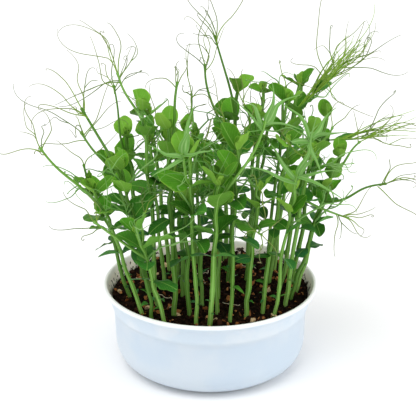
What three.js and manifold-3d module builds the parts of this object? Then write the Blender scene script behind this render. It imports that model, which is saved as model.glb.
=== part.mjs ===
// A round white tray of potting mix with pea shoot microgreens standing in it.
// Millimetres, +Z up. The origin is the centre of the tray's flat base.
//
// Nodes: tray, soil, and one leafy stem for each shoot. All shoots grow by one rule: a zigzag stem with
// five joints, a pair of blades at all but the lowest, and leaf stalks that end in tendrils. Each blade
// and tendril is drawn at random, and drawn again until it stands clear of the other shoots.
import * as THREE from "three";
import { mergeVertices } from "three/addons/utils/BufferGeometryUtils.js";
import Module from "manifold-3d";

const wasm = await Module();
wasm.setup();

// ---------- driving dimensions ----------
const RIM_RADIUS = 80;
const TRAY_HEIGHT = 65;
const FLOOR = 2.2; // thickness of the tray's floor and walls
const SIDES = 36; // of the tray and the soil
const SOIL_LEVEL = 58; // mean height of the soil's surface
const SOIL_GAP = 0.4; // between the soil and the tray, and under each root
const ROOT_DEPTH = 12; // how deep each stem stands in the soil
const COLLAR = 3.6; // a stem is upright up to this far above the soil
const HOLE_RADIUS = 2.9; // to a square hole's corners

const STEM_RADIUS = 1.8; // at the soil
const STEM_TAPER = 0.28; // share of the radius lost by the tip
const STEM_SIDES = 4;
const JOINTS_AT = [0.24, 0.52, 0.7, 0.87, 1]; // as shares of a shoot's height
const JITTER = 0.03; // how far a joint may be from there
const ZIGZAG = 0.9; // sideways step of the stem at each joint
const SWEEP = 0.35; // how much more a shoot leans near its tip
const GIRTH = [0.86, 1.2]; // a shoot's thickness, times the usual one
const SIZE = [0.84, 1.2]; // a shoot's blade length, times the usual one
const POISE = [-38, 14]; // degrees by which a shoot's top pair is raised
const TWIST = 28; // degrees by which a joint may be turned from opposite the last one

const BLADE_ROOT = 2.2; // how far below its joint a blade starts
const BLADE_SEAT = 0.66; // how far out it starts, as a share of the stem's radius
const BLADE_THICKNESS = 1.5; // on the midrib; the edges are sharp
const TURN_PLAY = 20; // degrees by which a blade may turn either way
const LIFT_PLAY = 15; // degrees by which it may rise or sink
const ROLL = [-0.25, 0.55]; // radians by which it rolls outwards
const BLADE_LENGTH = [0.85, 1.12]; // times its pair's length

const STALK_RADIUS = 0.88; // where it leaves the stem
const TENDRIL_RADIUS = 0.55;
const ARM_RADIUS = 1.1; // of a broad spray's arms
const KNUCKLE = 1.9; // a stalk's end, times the radius of the tendrils that spread from it
const VINE_SIDES = 3;
const VINE_STEPS = 2; // straight pieces in each curved stretch
const BOW = 0.07; // how far a stalk bends aside, as a share of its length
const DROOP = [-1.6, 0.4]; // the upward part of that bend
const LEAD_OPENING = [4, 16]; // degrees between a stalk and the tendril that carries it on
const FINE_OPENING = [30, 72]; // degrees between it and a thin tendril
const BROAD_OPENING = [60, 85]; // degrees between it and a thick arm
const FAN_PLAY = 0.2; // how unevenly the tendrils are spread round, as a share of the step between two
const TENDRIL_LENGTH = [0.7, 1.15]; // times the spray's reach
const SWERVE = 0.33; // how far a tendril bends away
const SAG = [-1.1, 0.6]; // the upward part of that bend
const STAGGER = 1.5; // between the roots of two tendrils, down the stalk

const CLEARANCE = 0.2; // least gap between two shoots
const MOST_TRIES = 40; // a blade or tendril that finds no room in these is left out
const LOOSENING = 0.12; // how much more play each further try has
const SHORTENING = 0.015; // how much shorter it is
const SMALLEST_STEP = 0.1; // finer detail than this is left out of a solid
const WELD = 1e-4; // corners nearer than this are one

const WHITE = new THREE.MeshStandardMaterial({ color: 0xeef2f4, roughness: 0.32, metalness: 0 });
const SOIL_BROWN = new THREE.MeshStandardMaterial({ color: 0x2a1a12, roughness: 0.95, metalness: 0 });
const SHOOT_GREEN = new THREE.MeshStandardMaterial({ color: 0x4f8f35, roughness: 0.5, metalness: 0 });

// ---------- the shoots ----------
// Each row: where the stem leaves the soil, its tip, and for most the end of a leaf stalk, with the count
// of its tendrils, their reach and its kind. A fine or broad spray grows from the fourth joint, and a
// broad one has thick green arms. A low spray is fine, and grows from the third joint.
const SHOOTS = [
  [[-50, -45], [-80, -50, 155], [-115, -50, 185], 5, 38, "fine"],
  [[-42, -54], [-60, -60, 175], [-85, -58, 215], 6, 44, "fine"],
  [[-38, -38], [-46, -38, 210], [-62, -42, 235], 6, 46, "fine"],
  [[-33, -60], [-50, -76, 135], [-78, -72, 140], 5, 30, "low"],
  [[-26, -46], [-28, -48, 200], [-22, -48, 230], 4, 18, "fine"],
  [[-15, -46], [-18, -50, 150]],
  [[-10, -60], [-14, -76, 188], [-18, -90, 195], 5, 34, "broad"],
  [[0, -62], [6, -80, 170], [35, -88, 215], 5, 36, "broad"],
  [[5, -44], [4, -46, 165]],
  [[14, -58], [18, -68, 192]],
  [[26, -50], [34, -54, 158], [34, -82, 135], 4, 26, "low"],
  [[38, -42], [54, -36, 185], [68, -60, 195], 5, 32, "broad"],
  [[46, -50], [56, -68, 162], [57, -78, 176], 6, 40, "broad"],
  [[55, -31], [70, -38, 178], [97, -34, 128], 7, 24, "low"],
  [[60, -20], [84, -25, 146], [124, -24, 150], 5, 36, "fine"],
  [[65, -6], [94, -4, 165]],
  [[-45, -8], [-72, -5, 160], [-92, -5, 182], 6, 42, "fine"],
  [[-34, -4], [-44, 5, 172]],
  [[-20, -15], [-24, -12, 170]],
  [[-8, 4], [-4, 12, 164]],
  [[6, -20], [10, -20, 180]],
  [[14, 10], [20, 22, 206], [3, 20, 246], 6, 38, "fine"],
  [[27, -24], [32, -22, 200]],
  [[40, -12], [54, -6, 206]],
  [[45, 10], [65, 20, 212], [88, 8, 220], 6, 44, "fine"],
  [[-60, -18], [-86, -22, 152]],
  [[-52, 20], [-62, 28, 170], [-70, 25, 208], 5, 36, "fine"],
  [[-32, 35], [-46, 45, 182]],
  [[-10, 45], [-20, 55, 166], [-14, 50, 195], 4, 30, "fine"],
  [[12, 48], [14, 60, 175], [-4, 55, 216], 5, 42, "fine"],
  [[32, 40], [40, 50, 198]],
  [[50, 30], [68, 44, 205], [96, 36, 220], 6, 46, "fine"],
  [[62, 8], [85, 12, 190], [116, 3, 178], 6, 44, "fine"],
  [[-25, 14], [-32, 24, 168]],
  [[-6, -30], [-11, -31, 186]],
  [[52, -5], [73, -14, 184]],
  [[28, 14], [42, 17, 178]],
];

// A shoot with no fine or broad spray has this small one at its fourth joint: the count of its tendrils,
// their reach, how steeply its stalk rises in degrees, and how long the stalk is.
const TUFT = { count: 2, reach: 26, rise: [40, 75], stalk: [20, 34] };

// ---------- blades ----------
// Points round each outline, as shares of the blade's length: along it from the stem, and across it.
const LEAF = [[0, 0], [0.24, 0.3], [0.78, 0.35], [1, 0], [0.78, -0.35], [0.24, -0.3]];
const STIPULE = [[0, 0], [0.3, 0.28], [0.78, 0.3], [1, 0], [0.74, -0.42], [0.2, -0.42]];
const MIDRIB = [0.48, 0];

// The blade pairs, from the top one down: the joint, the degrees that each blade turns from the joint's
// heading and rises, its length, and how much it is folded up and curled down.
const TOP = JOINTS_AT.length - 1;
const PAIRS = [
  { joint: TOP, outline: LEAF, turn: 90, rise: 60, length: 15.5, fold: 0.5, curl: -0.1 },
  { joint: 3, outline: STIPULE, turn: 82, rise: 46, length: 18.5, fold: 0.35, curl: 0.2 },
  { joint: 2, outline: STIPULE, turn: 82, rise: 28, length: 18, fold: 0.3, curl: 0.2 },
  { joint: 1, outline: LEAF, turn: 80, rise: 8, length: 15, fold: 0.25, curl: 0.25 },
];

// ---------- random draws ----------
const DRAW_FACTOR = 16807; // Park and Miller's rule for the next number
const DRAW_MODULUS = 2147483647;
const SHOOT_STEP = 7919; // these three keep the draws of each shoot, part and try apart
const PART_STEP = 611953;
const TRY_STEP = 15485863;

// Draws numbers between two limits, in an order that is always the same for a shoot, part and try.
function drawsFor(shoot, part, attempt) {
  let state = 1 + shoot * SHOOT_STEP + part * PART_STEP + attempt * TRY_STEP;
  const next = () => {
    state = (state * DRAW_FACTOR) % DRAW_MODULUS;
    return state / DRAW_MODULUS;
  };
  next();
  return ([low, high]) => low + (high - low) * next();
}

const eitherWay = (most) => [-most, most];

// The numbers of a shoot's parts. A spray's tendrils take the numbers after its own.
const STEM = 0;
const LAID_SPRAY = 10;
const TUFT_SPRAY = 20;
const FIRST_BLADE = 50;

// ---------- growth ----------
const RADIAN = Math.PI / 180;

// A unit vector with an azimuth and an elevation in degrees.
function heading(azimuth, elevation) {
  const level = Math.cos(elevation * RADIAN);
  return new THREE.Vector3(
    Math.cos(azimuth * RADIAN) * level,
    Math.sin(azimuth * RADIAN) * level,
    Math.sin(elevation * RADIAN),
  );
}

// Two unit vectors square to a direction and to each other.
function squareTo(direction) {
  const helper = Math.abs(direction.z) < 0.8 ? new THREE.Vector3(0, 0, 1) : new THREE.Vector3(1, 0, 0);
  const side = new THREE.Vector3().crossVectors(direction, helper).normalize();
  return [side, new THREE.Vector3().crossVectors(direction, side).normalize()];
}

// A shoot with its stem, and the joints that its other parts grow from.
function growStem(number, [foot, tip, end, count, reach, kind]) {
  const draw = drawsFor(number, STEM, 0);
  const facing = draw([0, 360]);
  const radius = STEM_RADIUS * draw(GIRTH);
  const size = draw(SIZE);
  const poise = draw(POISE);
  const zigzag = heading(facing, 0).multiplyScalar(ZIGZAG);
  const shares = JOINTS_AT.map((share, i) => (i < TOP ? share + draw(eitherWay(JITTER)) : share));
  const joints = shares.map((share, i) => {
    const lean = share * (1 - SWEEP) + SWEEP * share * share;
    const joint = new THREE.Vector3(
      foot[0] + (tip[0] - foot[0]) * lean,
      foot[1] + (tip[1] - foot[1]) * lean,
      SOIL_LEVEL + (tip[2] - SOIL_LEVEL) * share,
    );
    return i < TOP ? joint.addScaledVector(zigzag, i % 2 ? 1 : -1) : joint;
  });
  const azimuths = joints.map((_, i) => facing + i * 180 + draw(eitherWay(TWIST)));
  const radii = shares.map((share) => radius * (1 - STEM_TAPER * share));

  const sprays = [];
  if (end) {
    const joint = kind === "low" ? 2 : 3;
    const stalk = new THREE.Vector3(...end).sub(joints[joint]);
    azimuths[joint] = Math.atan2(stalk.y, stalk.x) / RADIAN;
    const spray = { part: LAID_SPRAY, joint, end: new THREE.Vector3(...end), count, reach };
    sprays.push({ ...spray, broad: kind === "broad" });
  }
  if (!end || kind === "low") {
    sprays.push({ part: TUFT_SPRAY, joint: 3, count: TUFT.count, reach: TUFT.reach, broad: false });
  }

  const upright = [SOIL_LEVEL - ROOT_DEPTH, SOIL_LEVEL + COLLAR].map((z) => new THREE.Vector3(...foot, z));
  const stem = tubeGeometry([...upright, ...joints], [radius, radius, ...radii], STEM_SIDES);
  return { number, joints, azimuths, radii, size, poise, sprays, pieces: [solidOf(stem)] };
}

// One blade of a pair. A later try has more play and is shorter.
function proposeBlade(shoot, pair, side, draw, attempt) {
  const play = 1 + LOOSENING * attempt;
  const raised = pair.rise + (pair.joint === TOP ? shoot.poise : 0);
  const azimuth = shoot.azimuths[pair.joint] + side * (pair.turn + play * draw(eitherWay(TURN_PLAY)));
  const along = heading(azimuth, raised + play * draw(eitherWay(LIFT_PLAY)));
  const across = heading(azimuth + 90, 0).applyAxisAngle(along, side * draw(ROLL));
  const up = new THREE.Vector3().crossVectors(along, across);
  const length = pair.length * shoot.size * draw(BLADE_LENGTH) * (1 - SHORTENING * attempt);
  const joint = shoot.joints[pair.joint];
  const downStem = shoot.joints[pair.joint - 1].clone().sub(joint).normalize();
  const seat = heading(azimuth, 0).multiplyScalar(shoot.radii[pair.joint] * BLADE_SEAT);
  const base = joint.clone().add(seat).addScaledVector(downStem, BLADE_ROOT);
  return bladeGeometry({ ...pair, base, side, along, across, up, length });
}

// One tendril of a spray: its root, a point that it bends past, and its tip.
function tendrilKnots(spray, i, draw) {
  const [side, over] = squareTo(spray.forward);
  const turn = (spray.firstTurn + ((i + draw(eitherWay(FAN_PLAY))) * 360) / spray.count) * RADIAN;
  const opening = i === 0 ? LEAD_OPENING : spray.broad ? BROAD_OPENING : FINE_OPENING;
  const open = draw(opening) * RADIAN;
  const outward = side.multiplyScalar(Math.cos(turn)).addScaledVector(over, Math.sin(turn));
  const aim = spray.forward.clone().multiplyScalar(Math.cos(open)).addScaledVector(outward, Math.sin(open));
  const length = spray.reach * draw(TENDRIL_LENGTH);
  const swerve = new THREE.Vector3(draw([-1, 1]), draw([-1, 1]), draw(SAG));
  const from = spray.end.clone().addScaledVector(spray.forward, -STAGGER * i);
  const by = from.clone().addScaledVector(aim, length / 2);
  const to = from.clone().addScaledVector(aim.addScaledVector(swerve, SWERVE).normalize(), length);
  return [from, by, to];
}

const thicknessOf = (spray) => (spray.broad ? ARM_RADIUS : TENDRIL_RADIUS);

// A spray's stalk, which goes on as its first tendril. A later try bends further aside.
function proposeStalk(shoot, spray, draw, attempt) {
  const start = shoot.joints[spray.joint];
  if (spray.part === TUFT_SPRAY) {
    const stalk = heading(shoot.azimuths[spray.joint], draw(TUFT.rise)).multiplyScalar(draw(TUFT.stalk));
    spray.end = start.clone().add(stalk);
  }
  const bow = new THREE.Vector3(draw([-1, 1]), draw([-1, 1]), draw(DROOP));
  const bend = BOW * (1 + LOOSENING * attempt) * start.distanceTo(spray.end);
  const middle = start.clone().add(spray.end).multiplyScalar(0.5).addScaledVector(bow, bend);
  spray.forward = spray.end.clone().sub(middle).normalize();
  spray.firstTurn = draw([0, 360]);
  const knots = [start, middle, ...tendrilKnots(spray, 0, draw)];
  return vineGeometry(knots, [STALK_RADIUS, KNUCKLE * thicknessOf(spray), 0]);
}

function proposeTendril(spray, i, draw) {
  return vineGeometry(tendrilKnots(spray, i, draw), [thicknessOf(spray), 0]);
}

// ---------- solids ----------
function geometryOf(points, triangles) {
  const geometry = new THREE.BufferGeometry();
  geometry.setAttribute("position", new THREE.Float32BufferAttribute(points.flatMap((p) => p.toArray()), 3));
  geometry.setIndex(triangles.flat());
  return geometry;
}

function solidOf(geometry) {
  const bare = geometry.clone();
  bare.deleteAttribute("normal");
  bare.deleteAttribute("uv");
  const merged = mergeVertices(bare, WELD);
  const vertProperties = new Float32Array(merged.attributes.position.array);
  const triVerts = new Uint32Array(merged.index.array);
  return new wasm.Manifold(new wasm.Mesh({ numProp: 3, vertProperties, triVerts }));
}

function geometryOfSolid(solid) {
  const mesh = solid.getMesh();
  const geometry = new THREE.BufferGeometry();
  geometry.setAttribute("position", new THREE.BufferAttribute(new Float32Array(mesh.vertProperties), 3));
  geometry.setIndex(new THREE.BufferAttribute(new Uint32Array(mesh.triVerts), 1));
  geometry.computeVertexNormals();
  return geometry;
}

// A closed tube through the points, with a radius at each. It starts flat, and ends flat, or in a point
// where the last radius is 0.
function tubeGeometry(points, radii, sides) {
  const pointed = radii[radii.length - 1] === 0;
  const ringed = pointed ? points.length - 1 : points.length;
  const vertices = [];
  let side = null;
  for (let i = 0; i < ringed; i++) {
    const before = points[Math.max(i - 1, 0)];
    const after = points[Math.min(i + 1, points.length - 1)];
    const direction = after.clone().sub(before).normalize();
    side = side ? side.addScaledVector(direction, -side.dot(direction)).normalize() : squareTo(direction)[0];
    const over = new THREE.Vector3().crossVectors(direction, side);
    for (let j = 0; j < sides; j++) {
      const turn = (2 * Math.PI * j) / sides;
      const spoke = side.clone().multiplyScalar(Math.cos(turn)).addScaledVector(over, Math.sin(turn));
      vertices.push(points[i].clone().addScaledVector(spoke, radii[i]));
    }
  }
  if (pointed) vertices.push(points[points.length - 1]);

  const triangles = [];
  const last = (ringed - 1) * sides;
  for (let j = 0; j < sides; j++) {
    const next = (j + 1) % sides;
    for (let start = 0; start < last; start += sides) {
      triangles.push([start + j, start + next, start + sides + next]);
      triangles.push([start + j, start + sides + next, start + sides + j]);
    }
    if (pointed) triangles.push([last + j, last + next, last + sides]);
    if (j > 0 && j < sides - 1) {
      triangles.push([0, j + 1, j]);
      if (!pointed) triangles.push([last, last + j, last + j + 1]);
    }
  }
  return geometryOf(vertices, triangles);
}

// A closed blade folded along its midrib. Its outline is a sharp edge, and its top and bottom faces run
// from there to a point on the midrib.
function bladeGeometry({ base, outline, side, along, across, up, length, fold, curl }) {
  const place = ([u, v], lift) =>
    base
      .clone()
      .addScaledVector(along, u * length)
      .addScaledVector(across, side * v * length)
      .addScaledVector(up, lift + (fold * Math.abs(v) - curl * u * u) * length);
  const rim = outline.map((point) => place(point, 0));
  const top = place(MIDRIB, BLADE_THICKNESS / 2);
  const bottom = place(MIDRIB, -BLADE_THICKNESS / 2);
  const count = rim.length;
  const triangles = rim.flatMap((_, i) => {
    const next = (i + 1) % count;
    return [[next, i, count], [i, next, count + 1]];
  });
  const outward = side > 0 ? triangles : triangles.map(([a, b, c]) => [a, c, b]);
  return geometryOf([...rim, top, bottom], outward);
}

// A pointed tube along a vine. Each stretch is a quadratic curve from a knot, past the next, to the one
// after, and radii holds the radius where each stretch starts and ends.
function vineGeometry(knots, radii) {
  const points = [knots[0]];
  const widths = [radii[0]];
  for (let i = 0; i + 2 < knots.length; i += 2) {
    const curve = new THREE.QuadraticBezierCurve3(knots[i], knots[i + 1], knots[i + 2]);
    for (let step = 1; step <= VINE_STEPS; step++) {
      const share = step / VINE_STEPS;
      points.push(curve.getPoint(share));
      widths.push(radii[i / 2] + (radii[i / 2 + 1] - radii[i / 2]) * share ** 3);
    }
  }
  return tubeGeometry(points, widths, VINE_SIDES);
}

// ---------- tray ----------
// Half of the tray's section: from the middle of its floor outwards and up, outside and then inside.
const TRAY_OUTSIDE = [
  [0, 0], [50, 0], [59, 2.2], [65.5, 6.6], [69.6, 12.5], [71.4, 20], [72.3, 46.2], [73.6, 47.6], [75, 53.5],
  [77, 59.6], [79.4, 60.8], [RIM_RADIUS, 62.8], [78.8, TRAY_HEIGHT],
];
const TRAY_INSIDE = [
  [0, FLOOR], [49.5, FLOOR], [58, 4.4], [63.8, 8.3], [67.5, 13.7], [69.2, 21], [70.2, 44.8], [71.4, 47],
  [72.9, 53], [76.4, 62.5], [77.3, 64.7],
];

function turned(section) {
  const geometry = new THREE.LatheGeometry(section.map(([radius, z]) => new THREE.Vector2(radius, z)), SIDES);
  return geometry.rotateX(Math.PI / 2);
}

// ---------- soil ----------
// The soil's surface is gently waved, with a hollow and a heap near the rim. x and y are the waves' radians
// to each millimetre, and for the hollow and the heap their middles.
const SWELL = { height: 0.8, x: 0.21, y: 0.19 };
const RIDGE = { height: 0.55, x: 0.43, y: 0.37 };
const HOLLOW = { x: -58, y: 30, height: -3.2, spread: 500 };
const HEAP = { x: 38, y: 42, height: 2.2, spread: 500 };
const EDGE_SINKING = 1; // of the surface along the wall
const SURFACE_RINGS = [72.3, 60, 42, 22, 0];
// The tray's inside where the soil lies against it.
const SOIL_BED = [[0, FLOOR], [49.5, FLOOR], [63.8, 8.3], [69.2, 21], [70.2, 44.8], [72.9, 53]];

// How far the soil's surface stands above or below its mean level.
function soilBump(x, y) {
  const swells = SWELL.height * Math.sin(SWELL.x * x) * Math.sin(SWELL.y * y);
  const ridges = RIDGE.height * Math.sin(RIDGE.x * x - RIDGE.y * y);
  const mounds = [HOLLOW, HEAP].map((mound) => {
    const away = (x - mound.x) ** 2 + (y - mound.y) ** 2;
    return mound.height * Math.exp(-away / mound.spread);
  });
  return swells + ridges + mounds[0] + mounds[1];
}

function soilSolid() {
  const walls = SOIL_BED.map(([radius, z]) => [Math.max(radius - SOIL_GAP, 0), z + SOIL_GAP]);
  const surface = SURFACE_RINGS.map((radius, i) => [radius, SOIL_LEVEL - (i ? 0 : EDGE_SINKING)]);
  const geometry = turned([...walls, ...surface]);
  const position = geometry.getAttribute("position");
  for (let i = 0; i < position.count; i++) {
    if (position.getZ(i) < SOIL_LEVEL - 2 * EDGE_SINKING) continue;
    position.setZ(i, position.getZ(i) + soilBump(position.getX(i), position.getY(i)));
  }
  const depth = ROOT_DEPTH + SOIL_GAP;
  const holes = SHOOTS.map(([foot]) => {
    const hole = new THREE.CylinderGeometry(HOLE_RADIUS, HOLE_RADIUS, 2 * depth, 4).rotateX(Math.PI / 2);
    return solidOf(hole.translate(...foot, SOIL_LEVEL));
  });
  return solidOf(geometry).subtract(wasm.Manifold.union(holes));
}

// ---------- keeping clear ----------
// Every solid that has grown so far, with its box, the number of its shoot and the joint that it grows
// from. The tray and soil have the number 0. A stem grows from no joint.
const grown = [];

function addGrown(number, joint, solid) {
  grown.push({ number, joint, solid, box: solid.boundingBox() });
}

function boxesMeet(a, b) {
  return [0, 1, 2].every((i) => a.min[i] - CLEARANCE < b.max[i] && b.min[i] - CLEARANCE < a.max[i]);
}

// A part may touch its own stem and what grows from the same joint, and nothing else.
function isClear(number, joint, solid) {
  const box = solid.boundingBox();
  return grown.every((other) => {
    const isKin = other.number === number && (other.joint === null || other.joint === joint);
    return isKin || !boxesMeet(box, other.box) || other.solid.minGap(solid, CLEARANCE) >= CLEARANCE;
  });
}

// Grows a part at a joint from the first proposal that stands clear, and says whether one did.
function growPart(shoot, joint, part, propose) {
  for (let attempt = 0; attempt < MOST_TRIES; attempt++) {
    const solid = solidOf(propose(drawsFor(shoot.number, part, attempt), attempt));
    if (isClear(shoot.number, joint, solid)) {
      addGrown(shoot.number, joint, solid);
      shoot.pieces.push(solid);
      return true;
    }
    solid.delete();
  }
  return false;
}

// ---------- assembly ----------
const part = new THREE.Group();

function addNode(name, solid, material) {
  const mesh = new THREE.Mesh(geometryOfSolid(solid), material);
  mesh.name = name;
  part.add(mesh);
}

const tray = solidOf(turned([...TRAY_OUTSIDE, ...TRAY_INSIDE.toReversed()]));
const soil = soilSolid();
addNode("tray", tray, WHITE);
addNode("soil", soil, SOIL_BROWN);
addGrown(0, null, tray);
addGrown(0, null, soil);

// Stems come first, then stalks, then the other tendrils, and last the blades, from the top pair down.
const shoots = SHOOTS.map((row, i) => growStem(i + 1, row));
for (const { number, pieces } of shoots) {
  if (!isClear(number, null, pieces[0])) throw new Error(`the stem of shoot ${number} touches another`);
  addGrown(number, null, pieces[0]);
}
for (const shoot of shoots) {
  shoot.sprays = shoot.sprays.filter((spray) =>
    growPart(shoot, spray.joint, spray.part, (draw, attempt) => proposeStalk(shoot, spray, draw, attempt)),
  );
}
for (const shoot of shoots) {
  for (const spray of shoot.sprays) {
    for (let i = 1; i < spray.count; i++) {
      growPart(shoot, spray.joint, spray.part + i, (draw) => proposeTendril(spray, i, draw));
    }
  }
}
for (const pair of PAIRS) {
  for (const shoot of shoots) {
    for (const side of [-1, 1]) {
      const number = FIRST_BLADE + 2 * pair.joint + Math.max(side, 0);
      growPart(shoot, pair.joint, number, (draw, attempt) => proposeBlade(shoot, pair, side, draw, attempt));
    }
  }
}
for (const { number, pieces } of shoots) {
  const name = `shoot_${String(number).padStart(2, "0")}`;
  addNode(name, wasm.Manifold.union(pieces).simplify(SMALLEST_STEP), SHOOT_GREEN);
}

export default part;
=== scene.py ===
import random
from functools import partial
from math import atan2, cos, degrees, exp, pi, radians, sin, sqrt, tanh

import bpy
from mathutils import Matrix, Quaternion, Vector, kdtree, noise


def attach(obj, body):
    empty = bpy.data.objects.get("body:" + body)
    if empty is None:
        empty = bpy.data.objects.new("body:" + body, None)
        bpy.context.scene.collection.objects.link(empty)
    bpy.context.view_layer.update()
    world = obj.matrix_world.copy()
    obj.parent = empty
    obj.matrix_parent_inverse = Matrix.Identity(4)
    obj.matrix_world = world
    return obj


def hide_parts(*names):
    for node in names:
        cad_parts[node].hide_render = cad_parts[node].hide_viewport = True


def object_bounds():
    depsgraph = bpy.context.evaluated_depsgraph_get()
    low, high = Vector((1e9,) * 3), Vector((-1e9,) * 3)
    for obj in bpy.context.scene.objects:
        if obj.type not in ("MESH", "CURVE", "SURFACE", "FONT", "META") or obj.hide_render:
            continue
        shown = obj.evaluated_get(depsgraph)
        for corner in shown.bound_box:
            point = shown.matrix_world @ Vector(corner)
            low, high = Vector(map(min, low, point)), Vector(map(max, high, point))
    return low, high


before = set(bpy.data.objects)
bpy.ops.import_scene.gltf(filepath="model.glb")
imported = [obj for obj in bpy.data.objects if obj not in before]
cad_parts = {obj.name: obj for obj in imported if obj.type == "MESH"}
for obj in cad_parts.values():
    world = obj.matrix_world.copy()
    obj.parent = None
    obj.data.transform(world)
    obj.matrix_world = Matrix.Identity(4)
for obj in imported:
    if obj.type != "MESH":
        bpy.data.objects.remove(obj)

cad_low, cad_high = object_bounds()
MM = 0.001

# ---- the part's driving dimensions ----
RIM_RADIUS = 80
TRAY_HEIGHT = 65
FLOOR = 2.2
SOIL_LEVEL = 58
ROOT_DEPTH = 12
COLLAR = 3.6

STEM_RADIUS = 1.8
STEM_TAPER = 0.28
JOINTS_AT = [0.24, 0.52, 0.7, 0.87, 1]
JITTER = (-0.03, 0.03)
ZIGZAG = 0.9
SWEEP = 0.35
GIRTH = (0.86, 1.2)
SIZE = (0.84, 1.2)
POISE = (-38, 14)
TWIST = (-28, 28)

BLADE_ROOT = 2.2
BLADE_SEAT = 0.66
TURN_PLAY = (-20, 20)
LIFT_PLAY = (-15, 15)
ROLL = (-0.25, 0.55)
BLADE_LENGTH = (0.85, 1.12)

STALK_RADIUS = 0.88
ARM_RADIUS = 1.1
BOW = 0.07
DROOP = (-1.6, 0.4)
LEAD_OPENING = (4, 16)
FINE_OPENING = (30, 72)
BROAD_OPENING = (60, 85)
FAN_PLAY = (-0.2, 0.2)
TENDRIL_LENGTH = (0.7, 1.15)
SWERVE = 0.33
SAG = (-1.1, 0.6)
STAGGER = 1.5

MOST_TRIES = 40
LOOSENING = 0.12
SHORTENING = 0.015

# ---- the shoots ----
# Each row: where the stem leaves the soil, its tip, and for most the end of a leaf stalk, with the count
# of its tendrils, their reach, and its kind if they aren't fine and high.
SHOOTS = [
    [[-50, -45], [-80, -50, 155], [-115, -50, 185], 5, 38],
    [[-42, -54], [-60, -60, 175], [-85, -58, 215], 6, 44],
    [[-38, -38], [-46, -38, 210], [-62, -42, 235], 6, 46],
    [[-33, -60], [-50, -76, 135], [-78, -72, 140], 5, 30, "low"],
    [[-26, -46], [-28, -48, 200], [-22, -48, 230], 4, 18],
    [[-15, -46], [-18, -50, 150]],
    [[-10, -60], [-14, -76, 188], [-18, -90, 195], 5, 34, "broad"],
    [[0, -62], [6, -80, 170], [35, -88, 215], 5, 36, "broad"],
    [[5, -44], [4, -46, 165]],
    [[14, -58], [18, -68, 192]],
    [[26, -50], [34, -54, 158], [34, -82, 135], 4, 26, "low"],
    [[38, -42], [54, -36, 185], [68, -60, 195], 5, 32, "broad"],
    [[46, -50], [56, -68, 162], [57, -78, 176], 6, 40, "broad"],
    [[55, -31], [70, -38, 178], [97, -34, 128], 7, 24, "low"],
    [[60, -20], [84, -25, 146], [124, -24, 150], 5, 36],
    [[65, -6], [94, -4, 165]],
    [[-45, -8], [-72, -5, 160], [-92, -5, 182], 6, 42],
    [[-34, -4], [-44, 5, 172]],
    [[-20, -15], [-24, -12, 170]],
    [[-8, 4], [-4, 12, 164]],
    [[6, -20], [10, -20, 180]],
    [[14, 10], [20, 22, 206], [3, 20, 246], 6, 38],
    [[27, -24], [32, -22, 200]],
    [[40, -12], [54, -6, 206]],
    [[45, 10], [65, 20, 212], [88, 8, 220], 6, 44],
    [[-60, -18], [-86, -22, 152]],
    [[-52, 20], [-62, 28, 170], [-70, 25, 208], 5, 36],
    [[-32, 35], [-46, 45, 182]],
    [[-10, 45], [-20, 55, 166], [-14, 50, 195], 4, 30],
    [[12, 48], [14, 60, 175], [-4, 55, 216], 5, 42],
    [[32, 40], [40, 50, 198]],
    [[50, 30], [68, 44, 205], [96, 36, 220], 6, 46],
    [[62, 8], [85, 12, 190], [116, 3, 178], 6, 44],
    [[-25, 14], [-32, 24, 168]],
    [[-6, -30], [-11, -31, 186]],
    [[52, -5], [73, -14, 184]],
    [[28, 14], [42, 17, 178]],
]
TUFT = {"count": 2, "reach": 26, "rise": (40, 75), "stalk": (20, 34)}

# The blade pairs, from the top one down.
TOP = len(JOINTS_AT) - 1
PAIRS = [
    {"joint": TOP, "kind": "leaf", "turn": 90, "rise": 60, "length": 15.5, "fold": 0.5, "curl": -0.1},
    {"joint": 3, "kind": "stipule", "turn": 82, "rise": 46, "length": 18.5, "fold": 0.35, "curl": 0.2},
    {"joint": 2, "kind": "stipule", "turn": 82, "rise": 28, "length": 18, "fold": 0.3, "curl": 0.2},
    {"joint": 1, "kind": "leaf", "turn": 80, "rise": 8, "length": 15, "fold": 0.25, "curl": 0.25},
]

# ---- random draws, as in the CAD part ----
DRAW_FACTOR = 16807
DRAW_MODULUS = 2147483647
SHOOT_STEP = 7919
PART_STEP = 611953
TRY_STEP = 15485863
STEM_PART = 0
LAID_SPRAY = 10
TUFT_SPRAY = 20
FIRST_BLADE = 50


def draws_for(shoot, part, attempt):
    """Draws numbers between two limits, in an order that is always the same for a shoot, part and try."""
    state = 1 + shoot * SHOOT_STEP + part * PART_STEP + attempt * TRY_STEP

    def draw(limits):
        nonlocal state
        state = state * DRAW_FACTOR % DRAW_MODULUS
        low, high = limits
        return low + (high - low) * state / DRAW_MODULUS

    draw((0, 1))
    return draw


# ---- growth, as in the CAD part ----
def heading(azimuth, elevation):
    """A unit vector with an azimuth and an elevation in degrees."""
    azimuth = radians(azimuth)
    elevation = radians(elevation)
    level = cos(elevation)
    return Vector((cos(azimuth) * level, sin(azimuth) * level, sin(elevation)))


def square_to(direction):
    """Two unit vectors square to a direction and to each other."""
    helper = Vector((0, 0, 1)) if abs(direction.z) < 0.8 else Vector((1, 0, 0))
    side = direction.cross(helper).normalized()
    return side, direction.cross(side).normalized()


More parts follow.
